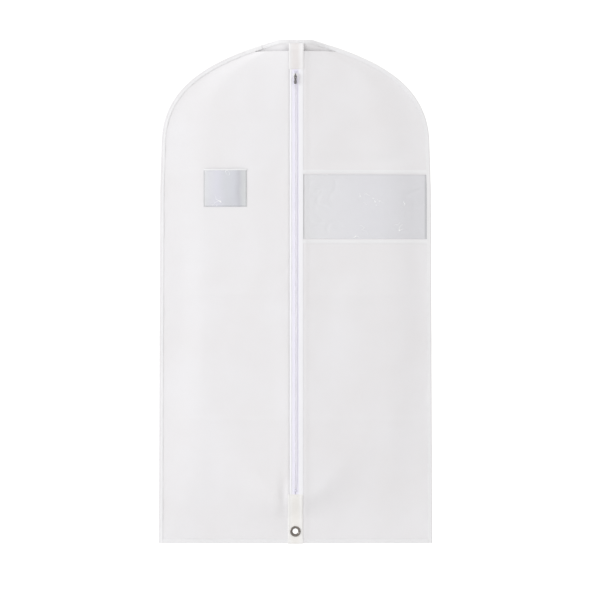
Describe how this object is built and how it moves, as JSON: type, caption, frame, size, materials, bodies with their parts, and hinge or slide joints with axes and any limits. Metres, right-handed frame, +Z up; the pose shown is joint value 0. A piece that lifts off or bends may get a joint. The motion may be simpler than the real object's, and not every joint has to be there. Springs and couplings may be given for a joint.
{
  "type": "garment bag",
  "caption": "Full-length zipped garment cover in white cloth with a clear window, a clear card pocket, bound edges and a hem eyelet for carrying it folded in half.",
  "frame": {"origin": "middle of the neck slit at the height of the back's top edge, where a hanger's hook comes out", "axes": "+X to the right of someone facing the zip, +Y from the front to the back, +Z up along the zip"},
  "size_m": [0.604, 0.0294, 1.1115],
  "materials": {
    "cloth": "matte",
    "film": "gloss",
    "binding": "matte",
    "tab": "matte",
    "tape": "matte",
    "coil": "satin",
    "gunmetal": "satin",
    "nickel": "polished"
  },
  "bodies": {
    "upper_bag": {"back_panel_upper": "cloth", "front_left_upper": "cloth", "front_right_shoulder": "cloth", "front_right_upper": "cloth", "window_film": "film", "window_strip_top": "binding", "window_strip_bottom": "binding", "card_pocket_film": "film", "zip_tape_left_upper": "tape", "zip_tape_right_upper": "tape", "zip_coil_left_upper": "coil", "zip_coil_right_upper": "coil", "top_stop_left": "gunmetal", "top_stop_right": "gunmetal", "top_tab": "tab", "neck_binding": "binding", "binding_left_upper": "binding", "binding_right_upper": "binding"},
    "lower_bag": {"back_panel_lower": "cloth", "front_left_lower": "cloth", "front_right_lower": "cloth", "zip_tape_left_lower": "tape", "zip_tape_right_lower": "tape", "zip_coil_left_lower": "coil", "zip_coil_right_lower": "coil", "bottom_stop": "gunmetal", "bottom_tab": "tab", "binding_left_lower": "binding", "binding_right_lower": "binding", "hem_binding": "binding", "eyelet": "nickel", "eyelet_washer": "nickel"},
    "slider": {"slider_body": "gunmetal", "slider_cap": "gunmetal"},
    "pull": {"pull_tab": "gunmetal"}
  },
  "joints": [
    {"name": "carry_fold", "type": "hinge", "parent": "upper_bag", "child": "lower_bag", "pos_m": [0, 0.011, -0.536], "axis": [-1, 0, 0], "range_deg": [-179, 0]},
    {"name": "zip_slide", "type": "slide", "parent": "upper_bag", "child": "slider", "axis": [0, 0, -1], "range_m": [0, 0.903]},
    {"name": "pull_swing", "type": "hinge", "parent": "slider", "child": "pull", "pos_m": [0, -0.0156, -0.0802], "axis": [-1, 0, 0], "range_deg": [0, 165]}
  ]
}
